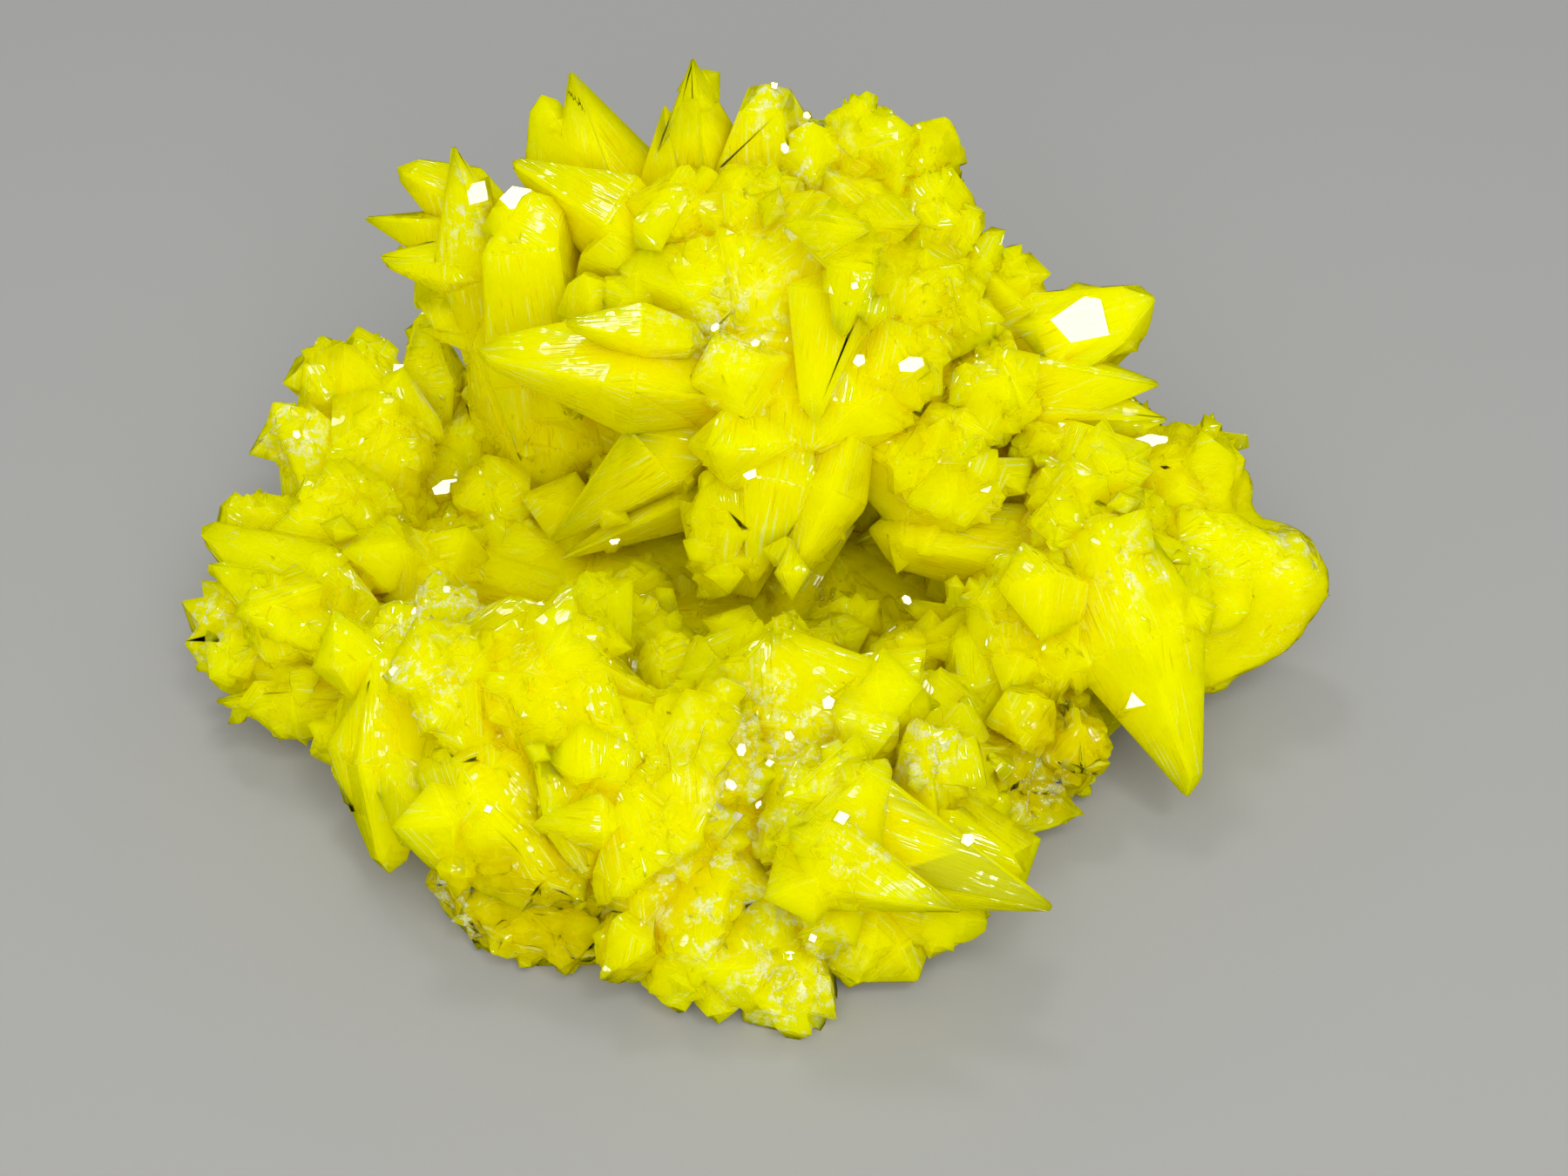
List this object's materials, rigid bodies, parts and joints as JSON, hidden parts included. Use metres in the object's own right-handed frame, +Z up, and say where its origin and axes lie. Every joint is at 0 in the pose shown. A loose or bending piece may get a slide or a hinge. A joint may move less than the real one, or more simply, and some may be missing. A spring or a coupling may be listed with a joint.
{
  "type": "sulfur crystal specimen",
  "caption": "Hand-sized cluster of intergrown pyramidal native sulfur crystals around a central hollow, with a crested back mound and a flat rest face.",
  "frame": {"origin": "on the flat rest face, under the middle of the cluster", "axes": "+X along the cluster's longest extent, towards its own right seen from the open front; -Y out of that front, +Y towards the crested back mound; +Z up from the rest face"},
  "size_m": [0.1361, 0.1063, 0.066],
  "materials": {
    "sulfur": "translucent bright yellow with a resinous lustre, frosted and granular in places"
  },
  "bodies": {
    "root": {"sulfur_crystal_cluster": "sulfur"}
  },
  "joints": []
}
